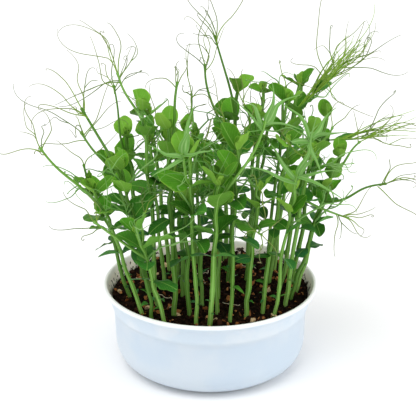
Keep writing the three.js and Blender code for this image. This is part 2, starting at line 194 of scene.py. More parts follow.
def grow_stem(number, foot, tip, end=None, count=0, reach=0, kind=None):
    """A shoot with its stem, and the joints that its other parts grow from."""
    draw = draws_for(number, STEM_PART, 0)
    facing = draw((0, 360))
    radius = STEM_RADIUS * draw(GIRTH)
    size = draw(SIZE)
    poise = draw(POISE)
    zigzag = heading(facing, 0) * ZIGZAG
    shares = [share + draw(JITTER) if i < TOP else share for i, share in enumerate(JOINTS_AT)]
    joints = []
    for i, share in enumerate(shares):
        lean = share * (1 - SWEEP) + SWEEP * share * share
        x = foot[0] + (tip[0] - foot[0]) * lean
        y = foot[1] + (tip[1] - foot[1]) * lean
        joint = Vector((x, y, SOIL_LEVEL + (tip[2] - SOIL_LEVEL) * share))
        joints.append(joint + zigzag * (1 if i % 2 else -1) if i < TOP else joint)
    azimuths = [facing + i * 180 + draw(TWIST) for i in range(len(joints))]
    radii = [radius * (1 - STEM_TAPER * share) for share in shares]

    sprays = []
    if end:
        joint = 2 if kind == "low" else 3
        stalk = Vector(end) - joints[joint]
        azimuths[joint] = degrees(atan2(stalk.y, stalk.x))
        laid = dict(part=LAID_SPRAY, joint=joint, end=Vector(end), count=count, reach=reach)
        sprays.append(dict(laid, broad=kind == "broad"))
    if not end or kind == "low":
        sprays.append(dict(TUFT, part=TUFT_SPRAY, joint=3, broad=False))
    upright = [Vector((*foot, z)) for z in (SOIL_LEVEL - ROOT_DEPTH, SOIL_LEVEL + COLLAR)]
    return dict(
        joints=joints, azimuths=azimuths, radii=radii, size=size, poise=poise, sprays=sprays,
        points=upright + joints, widths=[radius, radius] + radii,
    )


def propose_blade(shoot, pair, side, draw, attempt):
    play = 1 + LOOSENING * attempt
    joint = pair["joint"]
    raised = pair["rise"] + (shoot["poise"] if joint == TOP else 0)
    azimuth = shoot["azimuths"][joint] + side * (pair["turn"] + play * draw(TURN_PLAY))
    along = heading(azimuth, raised + play * draw(LIFT_PLAY))
    across = Quaternion(along, side * draw(ROLL)) @ heading(azimuth + 90, 0)
    up = along.cross(across)
    length = pair["length"] * shoot["size"] * draw(BLADE_LENGTH) * (1 - SHORTENING * attempt)
    start = shoot["joints"][joint]
    down_stem = (shoot["joints"][joint - 1] - start).normalized()
    base = start + heading(azimuth, 0) * (shoot["radii"][joint] * BLADE_SEAT) + down_stem * BLADE_ROOT
    tip = base + along * length - up * (pair["curl"] * length)
    return dict(pair, base=base, side=side, along=along, across=across, up=up, length=length, tip=tip)


def tendril_knots(spray, i, draw):
    """One tendril of a spray: its root, a point that it bends past, and its tip."""
    side, over = square_to(spray["forward"])
    turn = radians(spray["first_turn"] + (i + draw(FAN_PLAY)) * 360 / spray["count"])
    opening = LEAD_OPENING if i == 0 else BROAD_OPENING if spray["broad"] else FINE_OPENING
    open_by = radians(draw(opening))
    outward = side * cos(turn) + over * sin(turn)
    aim = spray["forward"] * cos(open_by) + outward * sin(open_by)
    length = spray["reach"] * draw(TENDRIL_LENGTH)
    swerve = Vector((draw((-1, 1)), draw((-1, 1)), draw(SAG)))
    root = spray["end"] - spray["forward"] * (STAGGER * i)
    by = root + aim * (length / 2)
    to = root + (aim + swerve * SWERVE).normalized() * length
    return [root, by, to]


def propose_stalk(shoot, spray, draw, attempt):
    """A spray's stalk, which goes on as its first tendril."""
    start = shoot["joints"][spray["joint"]]
    if spray["part"] == TUFT_SPRAY:
        rise = heading(shoot["azimuths"][spray["joint"]], draw(TUFT["rise"]))
        spray["end"] = start + rise * draw(TUFT["stalk"])
    bow = Vector((draw((-1, 1)), draw((-1, 1)), draw(DROOP)))
    bend_by = BOW * (1 + LOOSENING * attempt) * (spray["end"] - start).length
    middle = (start + spray["end"]) * 0.5 + bow * bend_by
    spray["forward"] = (spray["end"] - middle).normalized()
    spray["first_turn"] = draw((0, 360))
    knots = tendril_knots(spray, 0, draw)
    return {"stalk": [start, middle, knots[0]], "knots": knots, "tip": knots[-1]}


def propose_tendril(spray, i, draw, _):
    knots = tendril_knots(spray, i, draw)
    return {"knots": knots, "tip": knots[-1]}


# ---- the same parts as the solids ----
SAME_PLACE = 0.05  # a proposal whose tip is this near a corner of the solid is the one that grew


def corners_of(node):
    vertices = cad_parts[node].data.vertices
    tree = kdtree.KDTree(len(vertices))
    for vertex in vertices:
        tree.insert(vertex.co, vertex.index)
    tree.balance()
    return tree


def grown_part(corners, number, part, propose):
    """The proposal that the CAD part kept, or None where it kept none."""
    for attempt in range(MOST_TRIES):
        proposal = propose(draws_for(number, part, attempt), attempt)
        if corners.find(proposal["tip"] * MM)[2] < SAME_PLACE * MM:
            return proposal
    return None


def grow_shoot(number, row):
    shoot = grow_stem(number, *row)
    grow = partial(grown_part, corners_of(f"shoot_{number:02d}"), number)
    shoot["blades"] = []
    for spray in shoot["sprays"]:
        part = spray["part"]
        spray["tendrils"] = [grow(part, partial(propose_stalk, shoot, spray))]
        for i in range(1, spray["count"]):
            spray["tendrils"].append(grow(part + i, partial(propose_tendril, spray, i)))
    for pair in PAIRS:
        for side in (-1, 1):
            part = FIRST_BLADE + 2 * pair["joint"] + max(side, 0)
            shoot["blades"].append(grow(part, partial(propose_blade, shoot, pair, side)))
    return shoot


# ---- mesh making ----
def put_in_scene(name, data):
    piece = bpy.data.objects.new(name, data)
    bpy.context.scene.collection.objects.link(piece)
    return piece


BOX_EASE = 6  # how far inside the solids' box a path starts to turn back
BOX_PLAY = 2  # and how far outside it may end
MAP_LENGTH = 10  # of a tube, to one unit of the material's map


class Body:
    """One piece's points and faces. Each point has a place on the material's map, and three marks that the
    materials read: age (0 young to 1 old; on low leaves raised further as painted shade), edge (0 inside to 1
    on the margin) and tone (a random shade)."""

    def __init__(self):
        self.points = []
        self.faces = []
        self.paints = []
        self.places = []
        self.marks = []

    def point(self, at, place=(0, 0), age=0.0, edge=0.0, tone=0.5):
        self.points.append(at)
        self.places.append(place)
        self.marks.append((age, edge, tone))
        return len(self.points) - 1

    def face(self, corners, paint=0):
        self.faces.append(corners)
        self.paints.append(paint)

    def make(self, name, materials, node=None, sharp_degrees=None):
        mesh = bpy.data.meshes.new(name)
        mesh.from_pydata([point * MM for point in self.points], [], self.faces)
        mesh.polygons.foreach_set("material_index", self.paints)
        mesh.polygons.foreach_set("use_smooth", [True] * len(self.faces))
        corner_points = [loop.vertex_index for loop in mesh.loops]
        places = mesh.uv_layers.new(name="place")
        places.data.foreach_set("uv", [value for i in corner_points for value in self.places[i]])
        for number, mark in enumerate(("age", "edge", "tone")):
            layer = mesh.attributes.new(mark, "FLOAT", "POINT")
            layer.data.foreach_set("value", [marks[number] for marks in self.marks])
        if sharp_degrees:
            mesh.set_sharp_from_angle(angle=radians(sharp_degrees))
        for material in materials:
            mesh.materials.append(material)
        piece = put_in_scene(name, mesh)
        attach(piece, "root")
        if node:
            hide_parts(node)


def held_in(point):
    """The point, moved so that a path which would leave the solids' box turns back at its side."""
    held = point.copy()
    room = BOX_EASE + BOX_PLAY
    for axis in range(3):
        for way, limit in ((1, cad_high[axis] / MM), (-1, cad_low[axis] / MM)):
            past = way * (point[axis] - limit) + BOX_EASE
            if past > 0:
                held[axis] = limit + way * (room * tanh(past / room) - BOX_EASE)
    return held


def add_tube(body, path, radii, sides, paint, flat=1.0, ribs=0.0, ages=None, tone=0.5, side=None):
    """A closed tube along a path. A flat under 1 squashes its section square to side, and ribs raise four
    ridges on it."""
    path = [held_in(point) for point in path]
    rings = []
    travel = 0.0
    for i, (centre, radius) in enumerate(zip(path, radii)):
        before, after = path[max(i - 1, 0)], path[min(i + 1, len(path) - 1)]
        direction = (after - before).normalized()
        if side is None:
            side = square_to(direction)[0]
        else:
            side = (side - direction * side.dot(direction)).normalized()
        over = direction.cross(side) * flat
        travel += (centre - before).length / MAP_LENGTH
        age = ages[i] if ages else i / (len(path) - 1)
        rings.append([])
        for j in range(sides):
            turn = 2 * pi * j / sides
            ridge = cos(4 * turn)
            spoke = (side * cos(turn) + over * sin(turn)) * radius * (1 + ribs * ridge)
            rings[-1].append(body.point(centre + spoke, (j / sides, travel), age, 0.5 + ridge / 2, tone))
    for low, high in zip(rings, rings[1:]):
        for j in range(sides):
            k = (j + 1) % sides
            body.face((low[j], low[k], high[k], high[j]), paint)
    body.face(tuple(reversed(rings[0])), paint)
    body.face(tuple(rings[-1]), paint)


def smooth_path(points, step):
    """Points about one step apart on a smooth curve through the given ones, with their shares along it."""
    path = [points[0].copy()]
    shares = [0.0]
    ends = [points[0] * 2 - points[1]] + points + [points[-1] * 2 - points[-2]]
    for i in range(1, len(points)):
        a, b, c, d = ends[i - 1], ends[i], ends[i + 1], ends[i + 2]
        count = max(1, round((c - b).length / step))
        for k in range(1, count + 1):
            t = k / count
            linear = (c - a) * t
            square = (2 * a - 5 * b + 4 * c - d) * t ** 2
            cube = (3 * b - a - 3 * c + d) * t ** 3
            path.append(0.5 * (2 * b + linear + square + cube))
            shares.append(i - 1 + t)
    return path, shares


def bend(knots, count):
    """Points on a quadratic curve."""
    a, b, c = knots
    shares = [k / count for k in range(count + 1)]
    return [a * (1 - t) ** 2 + b * 2 * t * (1 - t) + c * t ** 2 for t in shares]


# ---- blades ----
STEM, LEAF_TOP, LEAF_UNDER, TENDRIL, ARM = range(5)
BLADE_ROWS = 12
BLADE_COLUMNS = 4  # on each side of the midrib
BLADE_HALF_THICKNESS = 0.17
# For each half: its width as a share of the length, how far towards the tip it is widest, its bluntness.
OUTLINES = {
    "leaf": [(0.365, 1.05, 0.5)] * 2,
    "stipule": [(0.31, 1.02, 0.52), (0.43, 0.8, 0.46)],
    "scale": [(0.3, 0.9, 0.8)] * 2,
    "leaflet": [(0.2, 1.0, 0.7)] * 2,
}
TEETH = 0.09  # depth of the stipules' teeth, as a share of the width
TEETH_END = 0.62  # how far out they run
TEETH_PACE = 17
RIPPLE_PACE = 13
CREASE = 0.04  # how softly a blade is folded, as a share of its length


def half_width(kind, side, u):
    width, lean, blunt = OUTLINES[kind][side < 0]
    shape = width * max(sin(pi * u ** lean), 0) ** blunt
    if kind == "stipule" and side < 0 and u < TEETH_END:
        shape *= 1 + TEETH * abs(sin(u * TEETH_PACE)) * (1 - u)
    return shape


class BladeForm:
    """Where the points of one blade lie: folded along its midrib, cupped, twisted, with waved margins."""

    def __init__(self, blade, draw):
        self.blade = blade
        self.phase = draw.uniform(0, 6)
        self.wave = draw.uniform(0.012, 0.045)
        self.twist = draw.uniform(-0.45, 0.45)
        self.cup = draw.uniform(-0.35, 0.6)
        self.bend_aside = draw.uniform(-0.12, 0.12)
        self.breadth = draw.uniform(0.9, 1.1)
        self.fold = blade["fold"] * draw.uniform(0.35, 1)

    def at(self, u, share, lift):
        blade = self.blade
        side = 1 if share >= 0 else -1
        v = share * self.breadth * half_width(blade["kind"], side, u)
        crease = self.fold * (sqrt(v * v + CREASE * CREASE) - CREASE)
        cupped = self.cup * v * v * 2
        ripple = self.wave * sin(u * RIPPLE_PACE + self.phase + side) * share ** 2
        raised = crease + cupped + ripple + self.twist * u * v - blade["curl"] * u * u
        across = v + self.bend_aside * u * u
        place = blade["base"] + blade["along"] * (u * blade["length"])
        place += blade["across"] * (blade["side"] * across * blade["length"])
        place += blade["up"] * (raised * blade["length"] + lift)
        return place, (u, v + 0.5)


def add_blade(body, blade, draw, age):
    """A thin closed blade: a sheet of points on its top and one on its underside, joined along the rim."""
    form = BladeForm(blade, draw)
    tone = draw.random()

    def add(u, share, lift):
        place, where = form.at(u, share, lift)
        return body.point(place, where, age, abs(share), tone)

    base, tip = add(0.0, 0, 0), add(1.0, 0, 0)
    shares = [k / BLADE_COLUMNS for k in range(-BLADE_COLUMNS, BLADE_COLUMNS + 1)]
    rows = [0.5 - 0.5 * cos(pi * k / BLADE_ROWS) for k in range(1, BLADE_ROWS)]
    rims = [(add(u, -1, 0), add(u, 1, 0)) for u in rows]
    for lift, paint in ((BLADE_HALF_THICKNESS, LEAF_TOP), (-BLADE_HALF_THICKNESS, LEAF_UNDER)):
        outward = (lift > 0) != (blade["side"] > 0)
        sheet = []
        for u, (left, right) in zip(rows, rims):
            inner = [add(u, share, lift * (1 - share * share)) for share in shares[1:-1]]
            sheet.append([left] + inner + [right])
        faces = []
        for low, high in zip(sheet, sheet[1:]):
            faces += [(low[j], high[j], high[j + 1], low[j + 1]) for j in range(len(low) - 1)]
        faces += [(base, sheet[0][j], sheet[0][j + 1]) for j in range(len(shares) - 1)]
        faces += [(sheet[-1][j], tip, sheet[-1][j + 1]) for j in range(len(shares) - 1)]
        for corners in faces:
            body.face(corners if outward else tuple(reversed(corners)), paint)


def small_blade(kind, along, across, base, length, fold, curl):
    """A blade that the CAD part hasn't, as add_blade needs it."""
    up = along.cross(across).normalized()
    return dict(
        kind=kind, side=1, along=along, across=across, up=up, base=base, length=length, fold=fold, curl=curl,
    )


# ---- tendrils ----
TENDRIL_SIDES = 5
TENDRIL_STEPS = 14
TENDRIL_SWAY = 0.13
WAVES = ((3.4, 1), (8, 20))  # the pace of each wave, and how many times smaller than the largest it is
THICK_AT_ROOT = 0.44
THIN_AT_TIP = 0.15
TAPER = 0.8
CURL_STEPS = 14
# How many degrees a tip winds on, and the length of each step as a share of the tendril's reach.
CURLS = ((45, 0.055), (70, 0.06), (95, 0.06), (120, 0.055), (170, 0.04), (440, 0.02))
FORK_CHANCE = 0.2
FORK_THINNING = 0.75
BUNDLE_TENDRILS = 14
BUNDLE_SCATTER = 0.22
BUNDLE_SWAY = 0.08
BUNDLE_OVERHANG = (6, 24)  # how far its tendrils reach past the stalk's end
BUNDLED_TENDRIL = {"thickness": 0.5, "forks": 0, "looseness": 0.4}
BUNDLE_LEAFLETS = 3
LEAFLET_SCATTER = 0.4
LEAFLET_AGE = 0.8
THICK_SIDES = 12
ARM_SWAY = 0.16
ARM_GIRTH = (1.15, 1.8)
ARM_FLATNESS = 0.4
ARM_RIBS = 0.06
STALK_BOW = 1.3
STALK_ENDS = 1.1  # how many times thicker it is at its ends
STALK_TAPER = 0.4
STALK_AGE = 0.3


def swayed(path, draw, most):
    """The path with a long wave and a short one on it, that grow from its root."""
    reach = (path[-1] - path[0]).length
    side, over = square_to((path[-1] - path[0]).normalized())
    waves = []
    for pace, smaller in WAVES:
        size = most / smaller
        for direction in (side, over):
            waves.append((direction * draw.uniform(size / 4, size) * reach, pace, draw.uniform(0, 6)))
    moved = []
    for i, point in enumerate(path):
        share = i / (len(path) - 1)
        sway = sum((wave * sin(share * pace + phase) for wave, pace, phase in waves), Vector())
        moved.append(point + sway * min(2 * share, 1))
    return moved


def curled_on(path, draw, looseness=1.0):
    """The path, wound on: mostly in a long easy arc, now and then in a curl that tightens."""
    path = list(path)
    reach = (path[-1] - path[0]).length
    turn, stride = draw.choice(CURLS)
    direction = (path[-1] - path[-2]).normalized()
    axis = square_to(direction)[0] * draw.choice((-1, 1)) + direction * draw.uniform(-0.35, 0.35)
    axis.rotate(Quaternion(direction, draw.uniform(0, 6)))
    axis.normalize()
    for i in range(CURL_STEPS):
        share = i / CURL_STEPS
        angle = radians(turn) * looseness * (0.35 + 1.3 * share) / CURL_STEPS
        direction = Quaternion(axis, angle) @ direction
        path.append(path[-1] + direction * (stride * reach + 0.25) * (1 - 0.5 * share))
    return path


def add_tendril(body, knots, draw, thickness=THICK_AT_ROOT, tone=None, forks=2, looseness=1.0, paint=TENDRIL):
    """A thin waved tendril that curls on at its tip, with up to as many thinner forks as forks says."""
    path = swayed(bend(knots, TENDRIL_STEPS), draw, TENDRIL_SWAY * looseness)
    straight = path[: draw.randint(TENDRIL_STEPS - 4, TENDRIL_STEPS)]
    path = curled_on(straight, draw, looseness)
    tone = draw.uniform(0.25, 1) if tone is None else tone
    steps = len(path) - 1
    thin = min(THIN_AT_TIP, thickness)
    radii = [thickness + (thin - thickness) * (i / steps) ** TAPER for i in range(steps + 1)]
    add_tube(body, path, radii, TENDRIL_SIDES, paint, tone=tone)
    reach = (straight[-1] - straight[0]).length
    for _ in range(forks):
        if draw.random() > FORK_CHANCE:
            continue
        start = draw.randint(2, 6)
        root = straight[start]
        direction = (straight[start + 1] - root).normalized()
        side = square_to(direction)[0]
        side.rotate(Quaternion(direction, draw.uniform(0, 6)))
        out = Quaternion(side, draw.uniform(0.25, 0.6)) @ direction
        length = reach * draw.uniform(0.5, 0.9)
        fork = loose_knots(draw, root, out, length, droop=(-0.35, 0.2), play=0.2)
        add_tendril(body, fork, draw, thickness * FORK_THINNING, tone, forks=0, paint=paint)


def scattered(draw, size):
    return Vector([draw.uniform(-1, 1) for _ in range(3)]) * size


def loose_knots(draw, root, aim, length, droop, play):
    """A root, a point that strays by up to play, and a tip that droops or lifts, as shares of the length."""
    sag = Vector((0, 0, draw.uniform(*droop))) * length
    return [root, root + aim * (length / 2) + scattered(draw, play * length), root + aim * length + sag]


def add_bundle(body, stalk, forward, draw):
    """Young tendrils and narrow leaflets that still lie together along a stalk and past its end."""
    for _ in range(BUNDLE_TENDRILS):
        root = stalk[draw.randint(1, len(stalk) - 3)]
        aim = forward + scattered(draw, BUNDLE_SCATTER)
        length = (stalk[-1] - root).length + draw.uniform(*BUNDLE_OVERHANG)
        sway = scattered(draw, length * BUNDLE_SWAY)
        knots = [root, root + aim * (length / 2) + sway, root + aim * length]
        add_tendril(body, knots, draw, tone=draw.uniform(0, 0.2), **BUNDLED_TENDRIL)
    for _ in range(BUNDLE_LEAFLETS):
        along = (forward + scattered(draw, LEAFLET_SCATTER)).normalized()
        across = square_to(along)[0]
        across.rotate(Quaternion(along, draw.uniform(0, 6)))
        base = stalk[draw.randint(3, len(stalk) // 2)]
        length, fold, curl = draw.uniform(8, 15), draw.uniform(0.8, 1.6), draw.uniform(-0.4, 0.4)
        leaflet = small_blade("leaflet", along, across, base, length, fold, curl)
        add_blade(body, leaflet, draw, LEAFLET_AGE)


def add_arm(body, knots, forward, draw):
    """A flattened arm of a broad spray, widest a third of the way out, with a thin tip. Its flat side faces
    the way that the spray does."""
    path = swayed(bend(knots, TENDRIL_STEPS), draw, ARM_SWAY)
    girth = draw.uniform(*ARM_GIRTH)
    radii = []
    for i in range(len(path)):
        share = i / TENDRIL_STEPS
        swelling = 0.6 + 0.9 * sin(pi * share ** 0.7)
        radii.append(0.2 + ARM_RADIUS * girth * (1 - share) ** 1.1 * swelling)
    side = (knots[1] - knots[0]).cross(forward)
    add_tube(body, path, radii, THICK_SIDES, ARM, ARM_FLATNESS, ARM_RIBS, tone=draw.random(), side=side)


def add_stalk(body, knots, girth, tone, draw):
    """A leaf stalk, a little swollen at both ends, with a slight double bend."""
    path = bend(knots, TENDRIL_STEPS)
    lean = scattered(draw, STALK_BOW)
    path = [point + lean * sin(2 * pi * i / TENDRIL_STEPS) for i, point in enumerate(path)]
    thick = STALK_RADIUS * girth
    radii = [thick * (STALK_ENDS - STALK_TAPER * i / TENDRIL_STEPS) for i in range(len(path))]
    radii[-1] = thick * STALK_ENDS
    path.append(path[-1] + (path[-1] - path[-2]).normalized() * 0.8)
    radii.append(thick * 0.6)
    ages = [STALK_AGE] * len(path)
    add_tube(body, path, radii, THICK_SIDES, STEM, ribs=STEM_RIBS, ages=ages, tone=tone)
    return path


# ---- shoots ----
STEM_SIDES = 16
STEM_STEP = 3
STEM_RIBS = 0.08
STEM_BOW = 1.6  # how far a stretch between two joints bows, at most
ROUNDNESS = 0.79  # a round stem's radius, as a share of the reach of the solid's square corners
SWELLING = 0.16  # of the stem at a joint
SWELLING_REACH = 2.2
BLADE_AGES = {1: 0.95, 2: 0.7, 3: 0.35, TOP: 0.2}
SHADE_TOP = 170  # leaves below this height get painted shade, darker and bluer as if shaded by the leaves above, and this far below it that painted shade is darkest
SHADE_DEPTH = 70  # and this far below it they are darkest
BUNDLED = (25, 32, 33)  # the shoots whose upper leaf is still half folded
BUNDLED_GIRTH = 0.6
BROAD_GIRTH = 1.15
STALK_GIRTH = (0.9, 1.2)
WISPS = ((2, 0), (2, 150), (3, 180), (3, 60))  # a joint, and degrees from its heading
WISP_CHANCE = 0.45
WISP_THICKNESS = (0.4, 0.65)
WISP_STEPS = 6
WISP_TENDRIL = {"forks": 1, "looseness": 1.3, "paint": ARM}


def add_stem(body, shoot, tone, draw):
    """A stem that leaves the soil in the direction that it leans, and bows a little between its joints."""
    collar, first = shoot["points"][1:3]
    root = collar - (first - collar).normalized() * ROOT_DEPTH
    points, widths = [root] + shoot["points"][1:], shoot["widths"]
    path, shares = smooth_path(points, STEM_STEP)
    bows = [heading(draw.uniform(0, 360), 0) * draw.uniform(0.2, 1) * STEM_BOW for _ in points]
    bows[0] = Vector()
    path = [place + bows[int(share)] * sin(pi * share) ** 2 for place, share in zip(path, shares)]
    radii = []
    for place, share in zip(path, shares):
        i = min(int(share), len(widths) - 2)
        radius = ROUNDNESS * (widths[i] + (widths[i + 1] - widths[i]) * (share - i))
        nearest = round(share)
        if nearest >= 2:
            away = (points[nearest] - place).length / SWELLING_REACH
            radius *= 1 + SWELLING * exp(-away * away)
        radii.append(radius)
    radii[-1] *= 0.5
    tall = points[-1].z - SOIL_LEVEL
    ages = [1 - max((place.z - SOIL_LEVEL) / tall, 0) for place in path]
    add_tube(body, path, radii, STEM_SIDES, STEM, ribs=STEM_RIBS, ages=ages, tone=tone)


def add_scale_leaves(body, shoot, draw):
    """Small curled leaves low on the stem, too small for the CAD part."""
    collar, first_joint = shoot["points"][1], shoot["joints"][0]
    for _ in range(draw.randint(1, 3)):
        azimuth = draw.uniform(0, 360)
        along = heading(azimuth, draw.uniform(10, 70))
        across = heading(azimuth + 90, draw.uniform(-20, 20))
        base = collar.lerp(first_joint, draw.uniform(0.2, 1.05)) + heading(azimuth, 0)
        length, curl = draw.uniform(3.5, 7), draw.uniform(0.2, 0.9)
        scale = small_blade("scale", along, across, base, length, fold=0.7, curl=curl)
        add_blade(body, scale, draw, age=1.0)


def add_wisp(body, shoot, joint, azimuth, draw):
    """A short stalk with a few tendrils at a joint, too fine for the CAD part."""
    start = shoot["joints"][joint]
    end = start + heading(azimuth, draw.uniform(10, 65)) * draw.uniform(9, 26)
    stalk = bend([start, (start + end) / 2 + Vector((0, 0, 1.5)), end], WISP_STEPS)
    add_tube(body, stalk, [WISP_THICKNESS[1]] * WISP_STEPS + [0.5], sides=6, paint=ARM)
    for _ in range(draw.randint(2, 4)):
        aim = heading(azimuth + draw.uniform(-80, 80), draw.uniform(-20, 70))
        length = draw.uniform(13, 30)
        knots = loose_knots(draw, end, aim, length, droop=(-0.4, 0.25), play=0.15)
        add_tendril(body, knots, draw, draw.uniform(*WISP_THICKNESS), **WISP_TENDRIL)


def add_bud(body, shoot, draw):
    """Two or three small folded leaves between the top pair."""
    tip = shoot["joints"][TOP]
    for i in range(draw.randint(2, 3)):
        azimuth = shoot["azimuths"][TOP] + 90 + i * 140
        along = heading(azimuth, draw.uniform(60, 82))
        across = heading(azimuth + 90, 0)
        length, curl = draw.uniform(5.5, 10), draw.uniform(-0.2, 0.1)
        base = tip - Vector((0, 0, 1))
        leaf = small_blade("leaf", along, across, base, length, fold=1.1, curl=curl)
        add_blade(body, leaf, draw, age=0.0)


def add_spray(body, spray, bundled, tone, draw):
    """The spray's stalk with what grows on it, then its tendrils or broad arms."""
    for tendril in filter(None, spray["tendrils"]):
        if "stalk" in tendril:
            if bundled:
                girth = BUNDLED_GIRTH
            else:
                girth = BROAD_GIRTH if spray["broad"] else draw.uniform(*STALK_GIRTH)
            stalk = add_stalk(body, tendril["stalk"], girth, tone, draw)
            if bundled:
                add_bundle(body, stalk, spray["forward"], draw)
        if spray["broad"]:
            add_arm(body, tendril["knots"], spray["forward"], draw)
        else:
            add_tendril(body, tendril["knots"], draw)


def make_shoot(number, row, materials):
    shoot = grow_shoot(number, row)
    draw = random.Random(number)
    tone = draw.random()
    body = Body()
    add_stem(body, shoot, tone, draw)
    for blade in filter(None, shoot["blades"]):
        # Painted shade: the lower a leaf sits below SHADE_TOP, the further its age mark is raised towards the
        # darker, bluer old colour.
        low = (SHADE_TOP - blade["base"].z) / SHADE_DEPTH
        add_blade(body, blade, draw, max(BLADE_AGES[blade["joint"]], min(low, 1)))
    for spray in shoot["sprays"]:
        add_spray(body, spray, number in BUNDLED, tone, draw)
    add_scale_leaves(body, shoot, draw)
    add_bud(body, shoot, draw)
    for joint, turn in WISPS:
        if draw.random() < WISP_CHANCE:
            add_wisp(body, shoot, joint, shoot["azimuths"][joint] + turn, draw)
    body.make(f"pea_shoot_{number:02d}", materials, f"shoot_{number:02d}", 60)


# ---- tray ----
TRAY_SIDES = 144
TRAY_SECTION = [
    (0, 0), (46, 0), (51, 0.2), (55.5, 1), (59.5, 2.6), (63, 4.8), (66, 7.3), (68.3, 10.2), (70, 13.6),
    (71, 17), (71.5, 21), (71.9, 34), (72.3, 46.2), (73.2, 47.4), (74.0, 49), (75, 53.5), (76, 57),
    (77.2, 60), (78.9, 61.1), (RIM_RADIUS, 62.1), (RIM_RADIUS, 63.6), (79.4, 64.7), (78.6, TRAY_HEIGHT),
    (77.7, 64.9), (77.1, 64.2), (76.4, 62.5), (74.6, 57.6), (72.9, 53), (71.4, 47), (70.2, 44.8), (69.2, 21),
    (67.5, 13.7), (63.8, 8.3), (58, 4.4), (49.5, FLOOR), (0, FLOOR),
]


def rounded(section):
    """A section with each corner cut once, and its ends kept."""
    points = [section[0]]
    for (r0, z0), (r1, z1) in zip(section, section[1:]):
        points.append((r0 * 0.75 + r1 * 0.25, z0 * 0.75 + z1 * 0.25))
        points.append((r0 * 0.25 + r1 * 0.75, z0 * 0.25 + z1 * 0.75))
    return points + [section[-1]]


def join_rings(body, rings, first, last):
    """Faces between rings of points, closed by a point at each end."""
    sides = len(rings[0])
    for j in range(sides):
        k = (j + 1) % sides
        body.face((first, rings[0][k], rings[0][j]))
        for low, high in zip(rings, rings[1:]):
            body.face((low[j], low[k], high[k], high[j]))
        body.face((last, rings[-1][j], rings[-1][k]))


def round_ring(radius, sides, height):
    """Points round a ring whose height is a number or a rule of x and y."""
    ring = []
    for j in range(sides):
        turn = 2 * pi * j / sides
        x, y = radius * cos(turn), radius * sin(turn)
        ring.append(Vector((x, y, height(x, y) if callable(height) else height)))
    return ring


def make_tray(material):
    """The tray's shell. Its mark edge is 1 on the points of the inner wall."""
    body = Body()
    section = rounded(TRAY_SECTION)
    first, last = (body.point(Vector((0, 0, z))) for _, z in (section[0], section[-1]))
    highest = max(range(len(section)), key=lambda i: section[i][1])
    rings = []
    for i, (r, z) in enumerate(section[1:-1], 1):
        inside = 1.0 if i > highest else 0.0
        rings.append([body.point(place, edge=inside) for place in round_ring(r, TRAY_SIDES, z)])
    join_rings(body, rings, first, last)
    body.make("tray_shell", [material], "tray")


# ---- soil ----
SOIL_SIDES = 180
SOIL_RINGS = 52
SOIL_EDGE = 73.2
SOIL_WALL = [(72, 51), (69.6, 44), (68.6, 21), (63.2, 8.8), (49, 2.7)]
SWELL = {"height": 0.8, "x": 0.21, "y": 0.19}
RIDGE = {"height": 0.55, "x": 0.43, "y": 0.37}
HOLLOW = {"x": -58, "y": 30, "height": -3.2, "spread": 500}
HEAP = {"x": 38, "y": 42, "height": 2.2, "spread": 500}
SOIL_TOP = 61
SOIL_DIP = 1.5  # at its edge
CRUMBS = ((0.22, 1.4), (0.6, 0.9), (1.5, 0.45))  # how close together each size lies, and how high it is
CHIP_COUNT = 1900
CHIP_SEED = 5
CHIP_REACH = 71.5
CHIP_SIDES = 6
CHIP_SECTION = ((-1, 0), (-0.45, 0.85), (0.4, 0.9), (1, 0))  # heights and radii, from the bottom up
LARGE_CHIPS = 0.17  # the share of large ones
LARGE_CHIP = (2.8, 6.2)
SMALL_CHIP = (1.0, 2.4)
THREAD_COUNT = 8
THREAD_SEED = 11
THREAD_REACH = 60
THREAD_STEPS = 12
THREAD_STEP = 1.2
THREAD_RADIUS = 0.3


def soil_bump(x, y):
    """How far the CAD part's soil stands above or below its mean level."""
    bump = SWELL["height"] * sin(SWELL["x"] * x) * sin(SWELL["y"] * y)
    bump += RIDGE["height"] * sin(RIDGE["x"] * x - RIDGE["y"] * y)
    for mound in (HOLLOW, HEAP):
        away = (x - mound["x"]) ** 2 + (y - mound["y"]) ** 2
        bump += mound["height"] * exp(-away / mound["spread"])
    return bump


def soil_height(x, y):
    """The soil's surface: the CAD part's, with crumbs of three sizes on it."""
    place = Vector((x, y, 3))
    crumbs = sum(noise.noise(place * pace) * height for pace, height in CRUMBS)
    return min(SOIL_LEVEL + soil_bump(x, y) + crumbs, SOIL_TOP)


def make_soil(material):
    body = Body()
    radii = [SOIL_EDGE * (1 - i / SOIL_RINGS) ** 0.8 for i in range(1, SOIL_RINGS)]
    rings = [round_ring(r, SOIL_SIDES, z) for r, z in reversed(SOIL_WALL)]
    rings.append(round_ring(SOIL_EDGE, SOIL_SIDES, lambda x, y: soil_height(x, y) - SOIL_DIP))
    rings += [round_ring(r, SOIL_SIDES, soil_height) for r in radii]
    first = body.point(Vector((0, 0, SOIL_WALL[-1][1])))
    last = body.point(Vector((0, 0, soil_height(0, 0))))
    join_rings(body, [[body.point(place) for place in ring] for ring in rings], first, last)
    body.make("potting_mix", [material], "soil")


def soil_spot(draw, reach):
    radius = reach * sqrt(draw.random())
    angle = draw.uniform(0, 2 * pi)
    return radius * cos(angle), radius * sin(angle)


